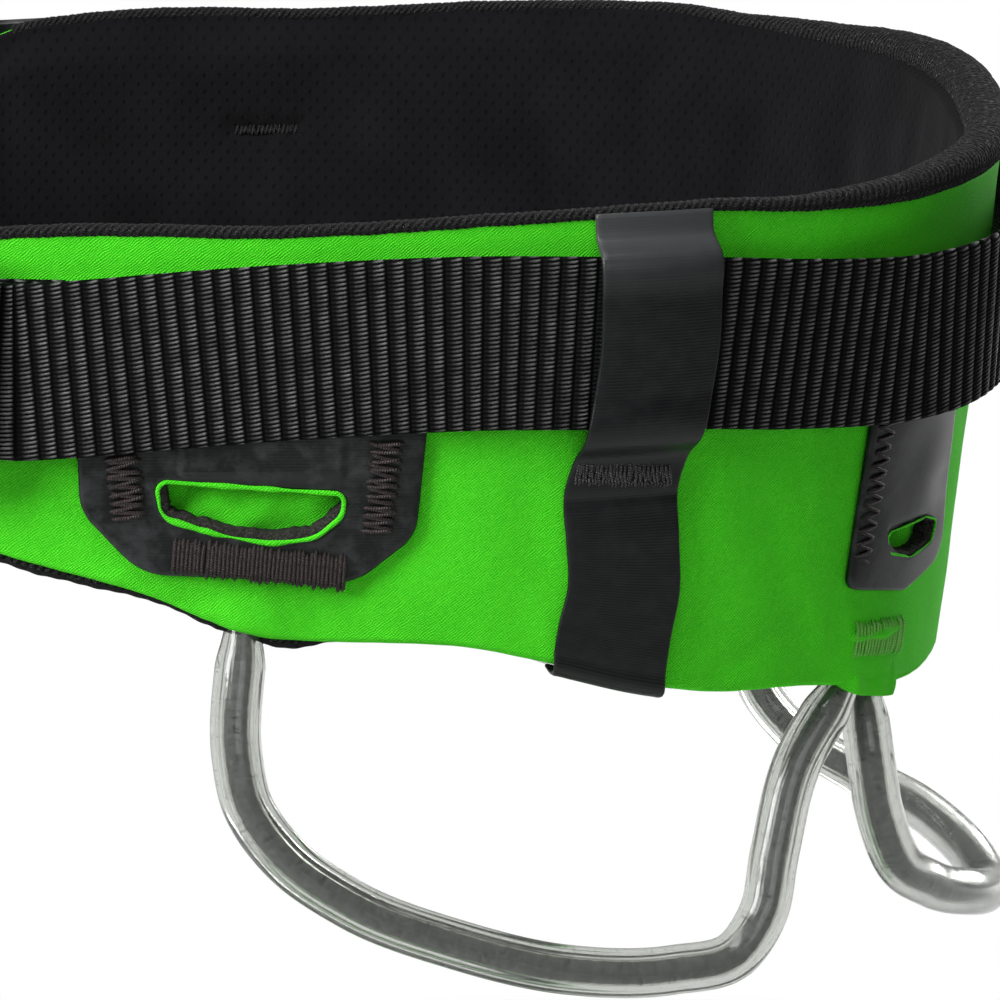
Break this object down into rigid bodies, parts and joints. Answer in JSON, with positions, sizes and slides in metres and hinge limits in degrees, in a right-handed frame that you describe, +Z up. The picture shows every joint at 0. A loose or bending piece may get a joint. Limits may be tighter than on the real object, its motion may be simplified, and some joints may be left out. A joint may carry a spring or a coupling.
{
  "type": "climbing harness",
  "caption": "Padded sit harness for climbing: waist belt with twin buckles, gear loops and gear slots, belay loop, adjustable leg loops.",
  "frame": {"origin": "middle of the front face of the belay loop, where a carabiner hangs, on the centre plane", "axes": "+Z up, +X to the wearer's left, +Y to the wearer's back"},
  "size_m": [0.3314, 0.2928, 0.3859],
  "materials": {
    "shell_green": "fine twill weave, satin",
    "foam_grey": "closed-cell foam",
    "mesh_black": "spacer mesh and knitted binding, matt",
    "webbing_black": "ribbed woven polyamide, matt",
    "tape_black": "coated tape, satin",
    "elastic_black": "knitted elastic, matt",
    "buckle_black": "black anodised, satin",
    "hook_plastic": "fine grain",
    "tube_clear": "clear flexible tube",
    "core_grey": "braided cord"
  },
  "bodies": {
    "waist": {"waist_shell": "shell_green", "waist_foam": "foam_grey", "waist_lining": "mesh_black", "waist_top_binding": "mesh_black", "waist_webbing": "webbing_black", "waist_front_strap": "webbing_black", "upper_tie_in": "webbing_black", "webbing_keeper_left": "tape_black", "webbing_keeper_right": "tape_black", "front_clipper_patch_left": "tape_black", "front_clipper_patch_right": "tape_black", "rear_clipper_patch_left": "tape_black", "rear_clipper_patch_right": "tape_black", "waist_buckle_left_frame": "buckle_black", "waist_buckle_right_frame": "buckle_black"},
    "belay_loop": {"belay_loop": "webbing_black"},
    "leg_bridge": {"leg_bridge": "webbing_black"},
    "gear_loop_rear": {"gear_loop_rear": "tube_clear", "gear_loop_rear_core": "core_grey"},
    "gear_loop_left": {"gear_loop_left": "tube_clear", "gear_loop_left_core": "core_grey"},
    "waist_slider_left": {"waist_buckle_left_slider": "buckle_black"},
    "waist_keeper_left": {"waist_strap_keeper_left": "elastic_black"},
    "leg_loop_left": {"leg_shell_left": "shell_green", "leg_foam_left": "foam_grey", "leg_lining_left": "mesh_black", "leg_webbing_left": "webbing_black", "leg_front_strap_left": "webbing_black", "bridge_end_left": "webbing_black", "leg_buckle_left_frame": "buckle_black"},
    "leg_slider_left": {"leg_buckle_left_slider": "buckle_black"},
    "leg_keeper_left": {"leg_strap_keeper_left": "elastic_black"},
    "riser_left": {"rear_riser_left": "elastic_black", "riser_hook_left": "hook_plastic"},
    "gear_loop_right": {"gear_loop_right": "tube_clear", "gear_loop_right_core": "core_grey"},
    "waist_slider_right": {"waist_buckle_right_slider": "buckle_black"},
    "waist_keeper_right": {"waist_strap_keeper_right": "elastic_black"},
    "leg_loop_right": {"leg_shell_right": "shell_green", "leg_foam_right": "foam_grey", "leg_lining_right": "mesh_black", "leg_webbing_right": "webbing_black", "leg_front_strap_right": "webbing_black", "bridge_end_right": "webbing_black", "leg_buckle_right_frame": "buckle_black"},
    "leg_slider_right": {"leg_buckle_right_slider": "buckle_black"},
    "leg_keeper_right": {"leg_strap_keeper_right": "elastic_black"},
    "riser_right": {"rear_riser_right": "elastic_black", "riser_hook_right": "hook_plastic"}
  },
  "joints": [
    {"name": "gear_loop_left_swing", "type": "hinge", "parent": "waist", "child": "gear_loop_left", "pos_m": [0.09787, 0.20225, -0.0326], "axis": [0.3307, -0.9272, 0.1759], "range_deg": [-5, 60]},
    {"name": "gear_loop_right_swing", "type": "hinge", "parent": "waist", "child": "gear_loop_right", "pos_m": [-0.09787, 0.20225, -0.0326], "axis": [0.3307, 0.9272, -0.1759], "range_deg": [-5, 60]},
    {"name": "gear_loop_rear_swing", "type": "hinge", "parent": "waist", "child": "gear_loop_rear", "pos_m": [0, 0.25905, -0.0454], "axis": [1, 0, 0], "range_deg": [-4, 60]},
    {"name": "belay_loop_swing", "type": "hinge", "parent": "waist", "child": "belay_loop", "pos_m": [0, 0.0125, 0.028], "axis": [-1, 0, 0], "range_deg": [0, 60]},
    {"name": "leg_bridge_swing", "type": "hinge", "parent": "belay_loop", "child": "leg_bridge", "pos_m": [0, 0.0125, -0.047], "axis": [-1, 0, 0], "range_deg": [-5, 30]},
    {"name": "leg_loop_left_swing", "type": "hinge", "parent": "leg_bridge", "child": "leg_loop_left", "pos_m": [0.0376, 0.055, -0.158], "axis": [-1, 0, 0], "range_deg": [-15, 15]},
    {"name": "riser_left_swing", "type": "hinge", "parent": "leg_loop_left", "child": "riser_left", "pos_m": [0.087, 0.22086, -0.2268], "axis": [1, 0, 0], "range_deg": [0, 60]},
    {"name": "waist_slider_left_tilt", "type": "hinge", "parent": "waist", "child": "waist_slider_left", "pos_m": [0.12188, 0.08728, 0.02601], "axis": [-0.0797, 0.0254, 0.9965], "range_deg": [0, 12]},
    {"name": "leg_slider_left_tilt", "type": "hinge", "parent": "leg_loop_left", "child": "leg_slider_left", "pos_m": [0.15182, 0.07422, -0.2009], "axis": [0, 0.3303, 0.9439], "range_deg": [0, 12]},
    {"name": "waist_keeper_left_slide", "type": "slide", "parent": "waist", "child": "waist_keeper_left", "axis": [-0.8452, -0.5344, 0], "range_m": [0, 0.008]},
    {"name": "leg_keeper_left_slide", "type": "slide", "parent": "leg_loop_left", "child": "leg_keeper_left", "axis": [-0.9946, -0.0979, 0.0343], "range_m": [0, 0.006]},
    {"name": "leg_loop_right_swing", "type": "hinge", "parent": "leg_bridge", "child": "leg_loop_right", "pos_m": [-0.0376, 0.055, -0.158], "axis": [-1, 0, 0], "range_deg": [-15, 15]},
    {"name": "riser_right_swing", "type": "hinge", "parent": "leg_loop_right", "child": "riser_right", "pos_m": [-0.087, 0.22086, -0.2268], "axis": [1, 0, 0], "range_deg": [0, 60]},
    {"name": "waist_slider_right_tilt", "type": "hinge", "parent": "waist", "child": "waist_slider_right", "pos_m": [-0.12188, 0.08728, 0.02601], "axis": [-0.0797, -0.0254, -0.9965], "range_deg": [0, 12]},
    {"name": "leg_slider_right_tilt", "type": "hinge", "parent": "leg_loop_right", "child": "leg_slider_right", "pos_m": [-0.15182, 0.07422, -0.2009], "axis": [0, -0.3303, -0.9439], "range_deg": [0, 12]},
    {"name": "waist_keeper_right_slide", "type": "slide", "parent": "waist", "child": "waist_keeper_right", "axis": [0.8452, -0.5344, 0], "range_m": [0, 0.008]},
    {"name": "leg_keeper_right_slide", "type": "slide", "parent": "leg_loop_right", "child": "leg_keeper_right", "axis": [0.9946, -0.0979, 0.0343], "range_m": [0, 0.006]}
  ]
}
